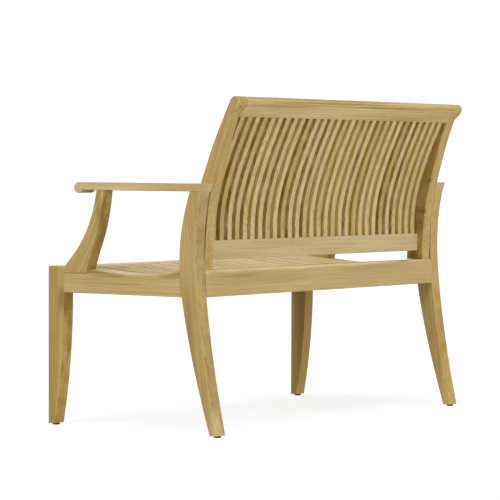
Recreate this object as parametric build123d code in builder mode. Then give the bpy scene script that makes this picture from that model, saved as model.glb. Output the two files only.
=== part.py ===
from build123d import *
from math import radians, sqrt, tan
import os

os.makedirs("parts", exist_ok=True)

# A two-seat teak garden bench. +Z is up, the sitter faces -Y, and X runs across the width.
# The origin is on the floor at the middle of the footprint. All sizes are in millimetres.
# "Left" is the sitter's left, which is +X. Right-hand pieces are mirror images of left ones.

# Overall size and timber sections
WIDTH = 1200.0
FRONT = -315.0
GLIDE_HEIGHT = 5.0
LEG_WIDTH = 42.0
LEG_INNER = WIDTH / 2 - LEG_WIDTH
LEG_MIDDLE = WIDTH / 2 - LEG_WIDTH / 2
EASE = 2.0

# Seat frame
RAIL_BOTTOM = 371.0
RAIL_TOP = 443.5
RAIL_THICKNESS = 28.0
LEDGE_WIDTH = 14.0
SLAT_THICKNESS = 17.0
LEDGE_TOP = RAIL_TOP - SLAT_THICKNESS
REAR_RAIL_FRONT = 176.8
REAR_RAIL_BACK_FOOT = 210.5
REAR_RAIL_BACK_TOP = 204.6
REAR_LIP = REAR_RAIL_FRONT + LEDGE_WIDTH
FRONT_RAIL_FRONT = FRONT + 3
FRONT_LIP = FRONT_RAIL_FRONT + RAIL_THICKNESS - LEDGE_WIDTH
SIDE_RAIL_TOP = 427.0
SIDE_RAIL_OUTER = WIDTH / 2 - 2
SIDE_RAIL_WIDTH = 36.0
SIDE_RAIL_INNER = SIDE_RAIL_OUTER - SIDE_RAIL_WIDTH
BEARER_WIDTH = 22.0

# Legs: front and rear edges as (Y, Z)
FRONT_LEG_TOP = 444.0
FRONT_LEG_DEPTH = 56.0
FRONT_LEG_BACK = FRONT + FRONT_LEG_DEPTH
FRONT_LEG_TAPER_TOP = 360.0
FRONT_LEG_TAPER_RADIUS = 1887.0
REAR_LEG_FRONT_EDGE = [(252.3, 5), (207.5, 150), (170.2, 300), (150.7, 425), (150.1, 505), (166.6, 600)]
REAR_LEG_BACK_EDGE = [(274.8, 5), (244.2, 150), (219.6, 300), (205.7, 425), (203.3, 505), (210.9, 600)]
REAR_LEG_TOP_FRONT = 183.6
REAR_LEG_TOP_BACK = 222.0

# Arms
ARM_WIDTH = 58.0
ARM_THICKNESS = 21.5
ARM_UNDER_REAR = 654.6
ARM_SLOPE = 0.0035
ARM_BACK_TOP = 228.5
NOSE_RADIUS = 15.0
NOSE_FRONT = -222.0
POST_FRONT_EDGE = [(-234, 468), (-193.5, 517.5), (-164.5, 573), (-147, 628)]
POST_BACK_EDGE = [(-158, 490), (-137.5, 545), (-123.7, 601)]
POST_TOP_FRONT = -141.5
POST_TOP_BACK = -116.0
POST_FOOT_BACK = -200.0
POST_HEEL_BACK = -177.0
POST_HEEL_TOP = 436.9

# Back: stiles, crest rail, lower rail and slats
STILE_OUTER = LEG_INNER - 1.6
STILE_WIDTH = 40.0
STILE_INNER = STILE_OUTER - STILE_WIDTH
STILE_FRONT_EDGE = [(146.0, 443.5), (146.5, 475), (152.0, 545), (173.5, 637), (203.8, 720), (241.7, 810)]
STILE_BACK_EDGE = [(201.0, 443.5), (203.4, 505), (208.1, 570), (224.6, 660), (249.6, 750), (268.8, 810)]
CREST_BOTTOM = 854.7
CREST_FRONT_FOOT = (263.8, CREST_BOTTOM)
CREST_FRONT_TOP = (285.6, 898.7)
CREST_CROWN = (298.5, 908.5)
CREST_NOSE = (314.75, 892.0)
CREST_NOSE_UNDER = (308.8, 880.1)
CREST_BACK_FOOT = (286.0, CREST_BOTTOM)
CREST_FRONT_SLOPE = (21.8, 44.0)
CREST_BACK_SLOPE = (-0.39, -1.0)
LOWER_RAIL_BOTTOM = 470.0
LOWER_RAIL_TOP = 522.0
LOWER_RAIL_BACK = 184.0
LOWER_RAIL_THICKNESS = 25.0
BACK_SLAT_COUNT = 29
BACK_SLAT_WIDTH = 18.5
BACK_SLAT_PITCH = 35.1
BACK_SLAT_EDGE = [(183.4, 522), (183.5, 562), (191.9, 630), (209.4, 690), (238.9, 765), (280.9, 854.7)]
BACK_SLAT_THICKNESS = 15.0
BACK_SLAT_EASE = 1.5
BACK_SLAT_TOP_ANGLE = 25.0

# Seat slats
SEAT_SLAT_PITCH = 65.5
SEAT_SLAT_WIDTH = 56.0
SEAT_SLAT_PAIRS = 7
OUTER_SLAT_INNER = 496.0
OUTER_SLAT_OUTER = 587.0
SEAT_DIP = [(107, 434.2), (57, 428.5), (7, 426.3), (-93, 429.5), (-193, 438.9)]
SEAT_FLAT_FRONT = -262.0

# Joinery
TENON_THICKNESS = 14.0
TENON_LENGTH = 24.0
RAIL_TENON_Z = 403.0
RAIL_TENON_HEIGHT = 42.0
SIDE_TENON_LENGTH = 22.0
SIDE_TENON_Z = 392.5
SIDE_TENON_HEIGHT = 25.0
ARM_TENON_HEIGHT = 13.0
ARM_TENON_WIDTH = 24.0
ARM_TENON_REAR_DEPTH = 20.0
ARM_TENON_POST_DEPTH = 14.0
SLAT_TENON_LENGTH = 14.0
SLAT_TENON_WIDTH = 12.0
SLAT_TENON_THICKNESS = 8.0
DOWEL_RADIUS = 3.0
DOWEL_REACH = 10.0
PIN_RADIUS = 1.9
BOLT_RADIUS = 3.0
BOLT_HEAD_RADIUS = 6.0
BOLT_HEAD_HEIGHT = 4.0
BOLT_HEX_RADIUS = 2.2
BOLT_HEX_DEPTH = 3.0
BOLT_REACH = 22.0
PLUG_DEPTH = 6.0
SPACER_RADIUS = 9.0
GLIDE_RADIUS = 9.8
GLIDE_SPIGOT_RADIUS = 3.0
GLIDE_SPIGOT_LENGTH = 14.0
CLEAR = 60.0


def save(part, label):
    """Names a finished piece and writes its STEP file."""
    part.label = label
    export_step(part, f"parts/{label}.step")


def arm_underside(y):
    """Height of the armrest's underside, which rises a little towards the front."""
    return ARM_UNDER_REAR + (REAR_LEG_TOP_BACK - y) * ARM_SLOPE


def side_edges(part, shortest):
    """Long edges of a piece sawn from a board that stands in the YZ plane."""
    return part.faces().filter_by(Axis.X).edges().filter_by(lambda edge: edge.length > shortest)


def seat_outline():
    """Closed outline of a seat slat, dished between its two level ends."""
    dip = [(REAR_RAIL_FRONT, RAIL_TOP), *SEAT_DIP, (SEAT_FLAT_FRONT, RAIL_TOP)]
    level = ((-1, 0), (-1, 0))
    top = Spline(*dip, tangents=level)
    under = Spline(*[(y, z - SLAT_THICKNESS) for y, z in dip], tangents=level)
    Polyline(top @ 0, (REAR_LIP, RAIL_TOP), (REAR_LIP, LEDGE_TOP), under @ 0)
    Polyline(top @ 1, (FRONT_LIP, RAIL_TOP), (FRONT_LIP, LEDGE_TOP), under @ 1)


def crest_roll():
    """Rolled top of the back, from the front foot over the nose to the back foot."""
    face = Line(CREST_FRONT_FOOT, CREST_FRONT_TOP)
    brow = TangentArc(CREST_FRONT_TOP, CREST_CROWN, tangent=face % 1)
    nose = TangentArc(CREST_CROWN, CREST_NOSE, tangent=brow % 1)
    under = TangentArc(CREST_NOSE, CREST_NOSE_UNDER, tangent=nose % 1)
    Spline(CREST_NOSE_UNDER, CREST_BACK_FOOT, tangents=(under % 1, CREST_BACK_SLOPE))


# Places of the fasteners
SLAT_CENTRES = [SEAT_SLAT_PITCH * k for k in range(-SEAT_SLAT_PAIRS, SEAT_SLAT_PAIRS + 1)]
OUTER_DOWEL_X = 527.0
DOWEL_XS = [-OUTER_DOWEL_X, *SLAT_CENTRES, OUTER_DOWEL_X]
REAR_DOWEL_Y = REAR_RAIL_FRONT + LEDGE_WIDTH / 2
FRONT_DOWEL_Y = FRONT_LIP + LEDGE_WIDTH / 2
LEG_PINS = [(571.0, 388.0), (571.0, 408.0)]
LEG_PIN_START = 180.0
STILE_PINS = [(526.5, 481.5), (526.5, 498.0)]
STILE_PIN_START = 162.0
CREST_PINS = [(524.5, 873.0), (540.0, 880.0)]
CREST_PIN_START = 280.0
SHORT_PIN = (545.0, 618.5)
SHORT_PIN_START = 203.0
BOLT_PLACES = [(176.0, 462.0), (186.0, 598.0)]
BACK_SLAT_XS = [BACK_SLAT_PITCH * (k - BACK_SLAT_COUNT // 2) for k in range(BACK_SLAT_COUNT)]

# Glide under each leg
FRONT_GLIDE_Y = FRONT + 11.5
REAR_GLIDE_Y = 263.5
with BuildPart() as glides:
    with BuildSketch():
        with Locations(*[(x, y) for x in (-LEG_MIDDLE, LEG_MIDDLE) for y in (FRONT_GLIDE_Y, REAR_GLIDE_Y)]):
            Circle(GLIDE_RADIUS)
    extrude(amount=GLIDE_HEIGHT)
    chamfer(glides.faces().sort_by(Axis.Z)[:4].edges(), 0.8)
    with BuildSketch(Plane.XY.offset(GLIDE_HEIGHT)):
        with Locations(*[(x, y) for x in (-LEG_MIDDLE, LEG_MIDDLE) for y in (FRONT_GLIDE_Y, REAR_GLIDE_Y)]):
            Circle(GLIDE_SPIGOT_RADIUS)
    extrude(amount=GLIDE_SPIGOT_LENGTH)
save(glides.part, "glides")

# Rear leg: one sawn curve from the floor to the armrest
REAR_LEG_TOPS = [(y, arm_underside(y)) for y in (REAR_LEG_TOP_FRONT, REAR_LEG_TOP_BACK)]
with BuildPart() as rear_leg_blank:
    with BuildSketch(Plane.YZ.offset(LEG_INNER)):
        with BuildLine():
            front_edge = Spline(*REAR_LEG_FRONT_EDGE, REAR_LEG_TOPS[0])
            back_edge = Spline(*REAR_LEG_BACK_EDGE, REAR_LEG_TOPS[1])
            Line(front_edge @ 0, back_edge @ 0)
            Line(front_edge @ 1, back_edge @ 1)
        make_face()
    extrude(amount=LEG_WIDTH)

REAR_TENON_Y = 194.0
SIDE_MORTISE_END = REAR_TENON_Y - 16
ARM_TENON_Y = (REAR_LEG_TOP_FRONT + REAR_LEG_TOP_BACK) / 2
with BuildPart() as rear_leg_left:
    add(rear_leg_blank.part)
    fillet(side_edges(rear_leg_left, 300), EASE)
    with BuildSketch(Plane.XY.offset(ARM_UNDER_REAR - EASE)):
        with Locations((LEG_MIDDLE, ARM_TENON_Y)):
            Rectangle(ARM_TENON_WIDTH, ARM_TENON_REAR_DEPTH)
    extrude(amount=ARM_TENON_HEIGHT + EASE)
    with BuildSketch(Plane.YZ.offset(LEG_INNER)):
        with Locations((REAR_TENON_Y, RAIL_TENON_Z)):
            Rectangle(TENON_THICKNESS, RAIL_TENON_HEIGHT)
    extrude(amount=TENON_LENGTH, mode=Mode.SUBTRACT)
    with BuildSketch(Plane.XZ.offset(-SIDE_MORTISE_END)):
        with Locations((LEG_MIDDLE, SIDE_TENON_Z)):
            Rectangle(TENON_THICKNESS, SIDE_TENON_HEIGHT)
    extrude(amount=CLEAR, mode=Mode.SUBTRACT)
    with BuildSketch(Plane.XZ.offset(-LEG_PIN_START)):
        with Locations(*LEG_PINS):
            Circle(PIN_RADIUS)
    extrude(amount=-CLEAR, mode=Mode.SUBTRACT)
    with BuildSketch(Plane.YZ.offset(LEG_INNER)):
        with Locations(*BOLT_PLACES):
            Circle(BOLT_RADIUS)
    extrude(amount=BOLT_REACH, mode=Mode.SUBTRACT)
    with BuildSketch(Plane.XY.offset(GLIDE_HEIGHT)):
        with Locations((LEG_MIDDLE, REAR_GLIDE_Y)):
            Circle(GLIDE_SPIGOT_RADIUS)
    extrude(amount=GLIDE_SPIGOT_LENGTH, mode=Mode.SUBTRACT)
save(rear_leg_left.part, "rear_leg_left")
with BuildPart() as rear_leg_right:
    mirror(rear_leg_left.part, about=Plane.YZ)
save(rear_leg_right.part, "rear_leg_right")

# Front leg: straight in front, with the rear edge tapering to the foot
FRONT_LEG_ARC_CENTRE = FRONT_LEG_BACK - FRONT_LEG_TAPER_RADIUS
FRONT_LEG_ARC_DROP = FRONT_LEG_TAPER_TOP - GLIDE_HEIGHT
FRONT_LEG_FOOT_BACK = FRONT_LEG_ARC_CENTRE + sqrt(FRONT_LEG_TAPER_RADIUS**2 - FRONT_LEG_ARC_DROP**2)
FRONT_TENON_Y = FRONT_RAIL_FRONT + RAIL_THICKNESS / 2
with BuildPart() as front_leg_left:
    with BuildSketch(Plane.YZ.offset(LEG_INNER)):
        with BuildLine():
            taper = TangentArc(
                (FRONT_LEG_BACK, FRONT_LEG_TAPER_TOP), (FRONT_LEG_FOOT_BACK, GLIDE_HEIGHT), tangent=(0, -1)
            )
            Polyline(taper @ 0, (FRONT_LEG_BACK, FRONT_LEG_TOP), (FRONT, FRONT_LEG_TOP))
            Polyline((FRONT, FRONT_LEG_TOP), (FRONT, GLIDE_HEIGHT), taper @ 1)
        make_face()
    extrude(amount=LEG_WIDTH)
    fillet(side_edges(front_leg_left, 50), EASE)
    with BuildSketch(Plane.YZ.offset(LEG_INNER)):
        with Locations((FRONT_TENON_Y, RAIL_TENON_Z)):
            Rectangle(TENON_THICKNESS, RAIL_TENON_HEIGHT)
    extrude(amount=TENON_LENGTH, mode=Mode.SUBTRACT)
    with BuildSketch(Plane.XZ.offset(-FRONT_LEG_BACK)):
        with Locations((LEG_MIDDLE, SIDE_TENON_Z)):
            Rectangle(TENON_THICKNESS, SIDE_TENON_HEIGHT)
    extrude(amount=SIDE_TENON_LENGTH, mode=Mode.SUBTRACT)
    with BuildSketch(Plane.XY.offset(GLIDE_HEIGHT)):
        with Locations((LEG_MIDDLE, FRONT_GLIDE_Y)):
            Circle(GLIDE_SPIGOT_RADIUS)
    extrude(amount=GLIDE_SPIGOT_LENGTH, mode=Mode.SUBTRACT)
save(front_leg_left.part, "front_leg_left")
with BuildPart() as front_leg_right:
    mirror(front_leg_left.part, about=Plane.YZ)
save(front_leg_right.part, "front_leg_right")

# Front and rear rails: a lip stands behind the ledge that carries the seat slats' ends
RAIL_LENGTH = 2 * LEG_INNER
with BuildPart() as rear_rail:
    with BuildSketch(Plane.YZ.offset(-LEG_INNER)):
        with BuildLine():
            Polyline(
                (REAR_RAIL_FRONT, RAIL_BOTTOM),
                (REAR_RAIL_BACK_FOOT, RAIL_BOTTOM),
                (REAR_RAIL_BACK_TOP, RAIL_TOP),
                (REAR_LIP, RAIL_TOP),
                (REAR_LIP, LEDGE_TOP),
                (REAR_RAIL_FRONT, LEDGE_TOP),
                close=True,
            )
        make_face()
    extrude(amount=RAIL_LENGTH)
    long_edges = rear_rail.edges().filter_by(Axis.X)
    fillet(long_edges.sort_by(Axis.Y)[-2:], EASE)
    with BuildSketch(Plane.YZ.offset(-LEG_INNER - TENON_LENGTH)):
        with Locations((REAR_TENON_Y, RAIL_TENON_Z)):
            Rectangle(TENON_THICKNESS, RAIL_TENON_HEIGHT)
    extrude(amount=RAIL_LENGTH + 2 * TENON_LENGTH)
    with BuildSketch(Plane.XZ.offset(-LEG_PIN_START)):
        with Locations(*[(side * x, z) for x, z in LEG_PINS for side in (-1, 1)]):
            Circle(PIN_RADIUS)
    extrude(amount=-CLEAR, mode=Mode.SUBTRACT)
    with BuildSketch(Plane.XY.offset(LEDGE_TOP)):
        with Locations(*[(x, REAR_DOWEL_Y) for x in DOWEL_XS]):
            Circle(DOWEL_RADIUS)
    extrude(amount=-DOWEL_REACH, mode=Mode.SUBTRACT)
save(rear_rail.part, "rear_rail")

with BuildPart() as front_rail:
    with BuildSketch(Plane.YZ.offset(-LEG_INNER)):
        with BuildLine():
            Polyline(
                (FRONT_RAIL_FRONT, RAIL_BOTTOM),
                (FRONT_RAIL_FRONT, RAIL_TOP),
                (FRONT_LIP, RAIL_TOP),
                (FRONT_LIP, LEDGE_TOP),
                (FRONT_LIP + LEDGE_WIDTH, LEDGE_TOP),
                (FRONT_LIP + LEDGE_WIDTH, RAIL_BOTTOM),
                close=True,
            )
        make_face()
    extrude(amount=RAIL_LENGTH)
    long_edges = front_rail.edges().filter_by(Axis.X)
    fillet(long_edges.sort_by(Axis.Y)[:2], EASE)
    with BuildSketch(Plane.YZ.offset(-LEG_INNER - TENON_LENGTH)):
        with Locations((FRONT_TENON_Y, RAIL_TENON_Z)):
            Rectangle(TENON_THICKNESS, RAIL_TENON_HEIGHT)
    extrude(amount=RAIL_LENGTH + 2 * TENON_LENGTH)
    with BuildSketch(Plane.XY.offset(LEDGE_TOP)):
        with Locations(*[(x, FRONT_DOWEL_Y) for x in DOWEL_XS]):
            Circle(DOWEL_RADIUS)
    extrude(amount=-DOWEL_REACH, mode=Mode.SUBTRACT)
save(front_rail.part, "front_rail")

# Seat slats: dished laths from the front ledge to the rear ledge
with BuildPart() as seat_slat:
    with BuildSketch(Plane.YZ.offset(-SEAT_SLAT_WIDTH / 2)):
        with BuildLine():
            seat_outline()
        make_face()
    extrude(amount=SEAT_SLAT_WIDTH)
    fillet(side_edges(seat_slat, 25).filter_by(lambda edge: edge.center().Z > LEDGE_TOP - 5), EASE)
    with BuildSketch(Plane.XY.offset(LEDGE_TOP)):
        with Locations((0, REAR_DOWEL_Y), (0, FRONT_DOWEL_Y)):
            Circle(DOWEL_RADIUS)
    extrude(amount=DOWEL_REACH, mode=Mode.SUBTRACT)
save(seat_slat.part, "seat_slat_centre")
for number in range(1, SEAT_SLAT_PAIRS + 1):
    with BuildPart() as seat_slat_pair:
        with Locations((-number * SEAT_SLAT_PITCH, 0, 0), (number * SEAT_SLAT_PITCH, 0, 0)):
            add(seat_slat.part)
    save(seat_slat_pair.part, f"seat_slats_{number}")

OUTER_SLAT_SHOULDER = LEG_INNER - 1
OUTER_SLAT_WING_BACK = 148.5
with BuildPart() as outer_slat_left:
    with BuildSketch(Plane.YZ.offset(OUTER_SLAT_INNER)):
        with BuildLine():
            seat_outline()
        make_face()
    extrude(amount=OUTER_SLAT_OUTER - OUTER_SLAT_INNER)
    top_edges = side_edges(outer_slat_left, 25).filter_by(lambda edge: edge.center().Z > LEDGE_TOP - 5)
    fillet(top_edges, EASE)
    with BuildSketch(Plane.XY.offset(LEDGE_TOP + CLEAR)):
        with Locations((OUTER_SLAT_SHOULDER, OUTER_SLAT_WING_BACK)):
            Rectangle(CLEAR, CLEAR, align=(Align.MIN, Align.MIN))
        with Locations((OUTER_SLAT_SHOULDER, POST_FOOT_BACK)):
            Rectangle(CLEAR, FRONT_LEG_DEPTH + CLEAR, align=(Align.MIN, Align.MAX))
    extrude(amount=-2 * CLEAR, mode=Mode.SUBTRACT)
    with BuildSketch(Plane.XY.offset(LEDGE_TOP)):
        with Locations((OUTER_DOWEL_X, REAR_DOWEL_Y), (OUTER_DOWEL_X, FRONT_DOWEL_Y)):
            Circle(DOWEL_RADIUS)
    extrude(amount=DOWEL_REACH, mode=Mode.SUBTRACT)
with BuildPart() as seat_slats_outer:
    add(outer_slat_left.part)
    mirror(outer_slat_left.part, about=Plane.YZ)
save(seat_slats_outer.part, "seat_slats_outer")

# Round wooden stock: dowels between the seat slats and the rails, plugs over the bolt heads
with BuildPart() as dowels_and_plugs:
    with BuildSketch(Plane.XY.offset(LEDGE_TOP - DOWEL_REACH)):
        with Locations(*[(x, y) for x in DOWEL_XS for y in (REAR_DOWEL_Y, FRONT_DOWEL_Y)]):
            Circle(DOWEL_RADIUS)
    extrude(amount=2 * DOWEL_REACH)
    for side in (-1, 1):
        with BuildSketch(Plane.YZ.offset(side * STILE_INNER)):
            with Locations(*BOLT_PLACES):
                Circle(BOLT_HEAD_RADIUS)
        extrude(amount=side * PLUG_DEPTH)
save(dowels_and_plugs.part, "dowels_and_plugs")

# Bearer under the lowest part of the seat, tenoned into the side rails
BEARER_Y = SEAT_DIP[2][0]
BEARER_TOP = SEAT_DIP[2][1] - SLAT_THICKNESS
BEARER_TENON_HEIGHT = 22.0
BEARER_TENON_Z = RAIL_BOTTOM + 20
BEARER_TENON_LENGTH = 12.0
BEARER_TENON_THICKNESS = 10.0
with BuildPart() as seat_bearer:
    with BuildSketch(Plane.YZ.offset(-SIDE_RAIL_INNER)):
        with Locations((BEARER_Y, RAIL_BOTTOM)):
            Rectangle(BEARER_WIDTH, BEARER_TOP - RAIL_BOTTOM + 1, align=(Align.CENTER, Align.MIN))
        with BuildLine():
            seat_outline()
        make_face(mode=Mode.SUBTRACT)
    extrude(amount=2 * SIDE_RAIL_INNER)
    with BuildSketch(Plane.YZ.offset(-SIDE_RAIL_INNER - BEARER_TENON_LENGTH)):
        with Locations((BEARER_Y, BEARER_TENON_Z)):
            Rectangle(BEARER_TENON_THICKNESS, BEARER_TENON_HEIGHT)
    extrude(amount=2 * (SIDE_RAIL_INNER + BEARER_TENON_LENGTH))
save(seat_bearer.part, "seat_bearer")

# Side rail: rebated inside its outer lip for the outer slat, shouldered to the legs
POST_TENON_Y = -232.5
POST_TENON_LENGTH = 35.0
POST_TENON_DEPTH = 20.0
SIDE_RAIL_SPAN = REAR_RAIL_FRONT - FRONT_LEG_BACK
with BuildPart() as side_rail_left:
    with BuildSketch(Plane.XZ.offset(-FRONT_LEG_BACK)):
        with Locations((SIDE_RAIL_INNER, RAIL_BOTTOM)):
            Rectangle(SIDE_RAIL_WIDTH, SIDE_RAIL_TOP - RAIL_BOTTOM, align=Align.MIN)
    extrude(amount=-SIDE_RAIL_SPAN)
    fillet(side_rail_left.edges().filter_by(Axis.Y).sort_by(Axis.X)[-2:], EASE)
    add(rear_leg_blank.part, mode=Mode.SUBTRACT)
    with BuildSketch(Plane.YZ.offset(SIDE_RAIL_INNER)):
        with BuildLine():
            seat_outline()
        make_face()
        with Locations((POST_FOOT_BACK, LEDGE_TOP)):
            Rectangle(SIDE_RAIL_SPAN, RAIL_TOP - LEDGE_TOP, align=Align.MIN)
        with Locations((POST_FOOT_BACK, RAIL_TOP)):
            Rectangle(SIDE_RAIL_SPAN, 2 * CLEAR, align=(Align.MAX, Align.CENTER), mode=Mode.SUBTRACT)
    extrude(amount=OUTER_SLAT_OUTER - SIDE_RAIL_INNER, mode=Mode.SUBTRACT)
    with BuildSketch(Plane.XZ.offset(-FRONT_LEG_BACK)):
        with Locations((LEG_MIDDLE, SIDE_TENON_Z)):
            Rectangle(TENON_THICKNESS, SIDE_TENON_HEIGHT)
    extrude(amount=SIDE_TENON_LENGTH)
    with BuildSketch(Plane.XZ.offset(-SIDE_MORTISE_END)):
        with Locations((LEG_MIDDLE, SIDE_TENON_Z)):
            Rectangle(TENON_THICKNESS, SIDE_TENON_HEIGHT)
    extrude(amount=CLEAR)
    with BuildSketch(Plane.XY.offset(SIDE_RAIL_TOP)):
        with Locations((LEG_MIDDLE, POST_TENON_Y)):
            Rectangle(TENON_THICKNESS, POST_TENON_LENGTH)
    extrude(amount=-POST_TENON_DEPTH, mode=Mode.SUBTRACT)
    with BuildSketch(Plane.YZ.offset(SIDE_RAIL_INNER)):
        with Locations((BEARER_Y, BEARER_TENON_Z)):
            Rectangle(BEARER_TENON_THICKNESS, BEARER_TENON_HEIGHT)
    extrude(amount=BEARER_TENON_LENGTH, mode=Mode.SUBTRACT)
save(side_rail_left.part, "side_rail_left")
with BuildPart() as side_rail_right:
    mirror(side_rail_left.part, about=Plane.YZ)
save(side_rail_right.part, "side_rail_right")

# Arm post: sweeps back from the front leg to the armrest
POST_TOPS = [(y, arm_underside(y)) for y in (POST_TOP_FRONT, POST_TOP_BACK)]
POST_TOP_MIDDLE = (POST_TOP_FRONT + POST_TOP_BACK) / 2
with BuildPart() as arm_post_left:
    with BuildSketch(Plane.YZ.offset(LEG_INNER)):
        with BuildLine():
            toe = (FRONT_LEG_BACK, FRONT_LEG_TOP - 2)
            heel = (POST_HEEL_BACK, POST_HEEL_TOP)
            Spline(toe, *POST_FRONT_EDGE, POST_TOPS[0])
            Line(*POST_TOPS)
            Spline(POST_TOPS[1], *reversed(POST_BACK_EDGE), heel)
            Polyline(heel, (POST_HEEL_BACK, SIDE_RAIL_TOP), (FRONT_LEG_BACK, SIDE_RAIL_TOP), toe)
        make_face()
    extrude(amount=LEG_WIDTH)
    fillet(side_edges(arm_post_left, 120), EASE)
    add(outer_slat_left.part, mode=Mode.SUBTRACT)
    with BuildSketch(Plane.XY.offset(SIDE_RAIL_TOP)):
        with Locations((LEG_MIDDLE, POST_TENON_Y)):
            Rectangle(TENON_THICKNESS, POST_TENON_LENGTH)
    extrude(amount=-POST_TENON_DEPTH)
    with BuildSketch(Plane.XY.offset(ARM_UNDER_REAR - EASE)):
        with Locations((LEG_MIDDLE, POST_TOP_MIDDLE)):
            Rectangle(ARM_TENON_WIDTH, ARM_TENON_POST_DEPTH)
    extrude(amount=ARM_TENON_HEIGHT + EASE)
save(arm_post_left.part, "arm_post_left")
with BuildPart() as arm_post_right:
    mirror(arm_post_left.part, about=Plane.YZ)
save(arm_post_right.part, "arm_post_right")

# Armrest: a flat board with a rolled nose
NOSE_Y = NOSE_FRONT + NOSE_RADIUS
NOSE_Z = arm_underside(NOSE_Y) + ARM_THICKNESS - NOSE_RADIUS
NOSE_STEP_Y = NOSE_Y + sqrt(NOSE_RADIUS**2 - (NOSE_Z - arm_underside(NOSE_Y)) ** 2)
ARM_INNER = WIDTH / 2 - ARM_WIDTH
with BuildPart() as armrest_blank:
    with BuildSketch(Plane.YZ.offset(ARM_INNER)):
        with BuildLine():
            nose_top = (NOSE_Y, NOSE_Z + NOSE_RADIUS)
            nose_step = (NOSE_STEP_Y, arm_underside(NOSE_Y))
            back_under = (REAR_LEG_TOP_BACK, ARM_UNDER_REAR)
            back_top = (ARM_BACK_TOP, ARM_UNDER_REAR + ARM_THICKNESS)
            ThreePointArc(nose_top, (NOSE_FRONT, NOSE_Z), nose_step)
            Polyline(nose_step, back_under, back_top, nose_top)
        make_face()
    extrude(amount=ARM_WIDTH)

with BuildPart() as armrest_left:
    add(armrest_blank.part)
    fillet(side_edges(armrest_left, 30), EASE)
    with BuildSketch(Plane.XY.offset(ARM_UNDER_REAR - EASE)):
        with Locations((LEG_MIDDLE, ARM_TENON_Y)):
            Rectangle(ARM_TENON_WIDTH, ARM_TENON_REAR_DEPTH)
        with Locations((LEG_MIDDLE, POST_TOP_MIDDLE)):
            Rectangle(ARM_TENON_WIDTH, ARM_TENON_POST_DEPTH)
    extrude(amount=ARM_TENON_HEIGHT + EASE, mode=Mode.SUBTRACT)
save(armrest_left.part, "armrest_left")
with BuildPart() as armrest_right:
    mirror(armrest_left.part, about=Plane.YZ)
save(armrest_right.part, "armrest_right")

# Back stile: curved board inside the rear leg, ending in the roll of the crest rail
LOWER_TENON_THICKNESS = 12.0
LOWER_TENON_HEIGHT = 36.0
LOWER_TENON_PLACE = (LOWER_RAIL_BACK - LOWER_RAIL_THICKNESS / 2, (LOWER_RAIL_BOTTOM + LOWER_RAIL_TOP) / 2)
CREST_TENON_LENGTH = 32.0
CREST_TENON = [(272.0, 862), (284.5, 862), (298.5, 890), (287.0, 890)]
with BuildPart() as back_stile_left:
    with BuildSketch(Plane.YZ.offset(STILE_INNER)):
        with BuildLine():
            Spline(*STILE_FRONT_EDGE, CREST_FRONT_FOOT, tangents=((0, 1), CREST_FRONT_SLOPE))
            crest_roll()
            Spline(CREST_BACK_FOOT, *reversed(STILE_BACK_EDGE), tangents=(CREST_BACK_SLOPE, (0, -1)))
            Line(STILE_BACK_EDGE[0], STILE_FRONT_EDGE[0])
        make_face()
    extrude(amount=STILE_WIDTH)
    fillet(side_edges(back_stile_left, 8).filter_by(Axis.Y, reverse=True), EASE)
    add(armrest_blank.part, mode=Mode.SUBTRACT)
    with BuildSketch(Plane.YZ.offset(STILE_INNER)):
        with Locations(LOWER_TENON_PLACE):
            Rectangle(LOWER_TENON_THICKNESS, LOWER_TENON_HEIGHT)
    extrude(amount=TENON_LENGTH, mode=Mode.SUBTRACT)
    with BuildSketch(Plane.YZ.offset(STILE_INNER)):
        Polygon(*CREST_TENON, align=None)
    extrude(amount=CREST_TENON_LENGTH, mode=Mode.SUBTRACT)
    with BuildSketch(Plane.YZ.offset(STILE_INNER)):
        with Locations(*BOLT_PLACES):
            Circle(BOLT_RADIUS)
    extrude(amount=STILE_WIDTH, mode=Mode.SUBTRACT)
    with BuildSketch(Plane.YZ.offset(STILE_INNER)):
        with Locations(*BOLT_PLACES):
            Circle(BOLT_HEAD_RADIUS)
    extrude(amount=PLUG_DEPTH + BOLT_HEAD_HEIGHT, mode=Mode.SUBTRACT)
    with BuildSketch(Plane.XZ.offset(-STILE_PIN_START)):
        with Locations(*STILE_PINS):
            Circle(PIN_RADIUS)
    extrude(amount=-CLEAR, mode=Mode.SUBTRACT)
    with BuildSketch(Plane.XZ.offset(-CREST_PIN_START)):
        with Locations(*CREST_PINS):
            Circle(PIN_RADIUS)
    extrude(amount=-CLEAR, mode=Mode.SUBTRACT)
    with BuildSketch(Plane.XZ.offset(-SHORT_PIN_START)):
        with Locations(SHORT_PIN):
            Circle(PIN_RADIUS)
    extrude(amount=-CLEAR, mode=Mode.SUBTRACT)
save(back_stile_left.part, "back_stile_left")
with BuildPart() as back_stile_right:
    mirror(back_stile_left.part, about=Plane.YZ)
save(back_stile_right.part, "back_stile_right")

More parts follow.
